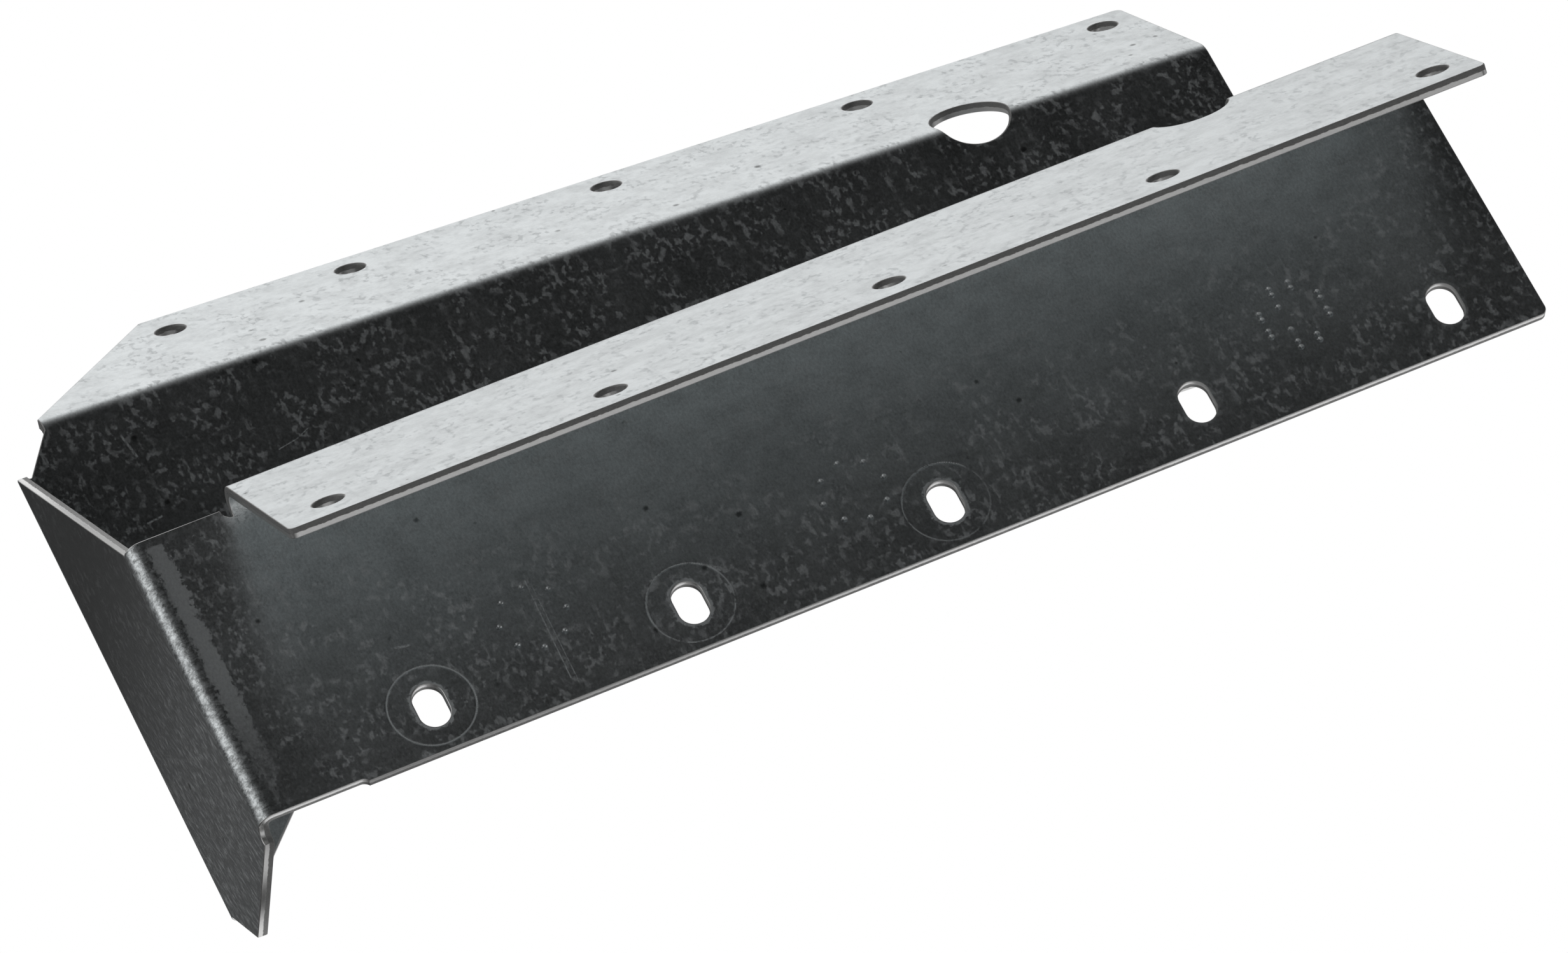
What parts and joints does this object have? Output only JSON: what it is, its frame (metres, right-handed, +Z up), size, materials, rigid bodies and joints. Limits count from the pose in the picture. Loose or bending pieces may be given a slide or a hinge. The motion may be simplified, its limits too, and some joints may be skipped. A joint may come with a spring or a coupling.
{
  "type": "joist hanger",
  "caption": "Skewed face-mount joist hanger folded from one galvanised sheet, with a seat, two side walls and two header flanges with nail holes.",
  "frame": {"origin": "middle of the seat's top face, halfway along its centre line and halfway between the side walls", "axes": "+Z up, +X along the header towards the side where joist and header make the acute angle, +Y off the header's face; the joist leaves at 45 degrees between +X and +Y"},
  "size_m": [0.1457, 0.0731, 0.2061],
  "materials": {
    "galvanised_sheet": "satin hot-dip galvanised with a soft spangle, bright burnished shear bands on the cut edges and grain at the tight folds"
  },
  "bodies": {
    "root": {"joist_hanger": "galvanised_sheet"}
  },
  "joints": []
}
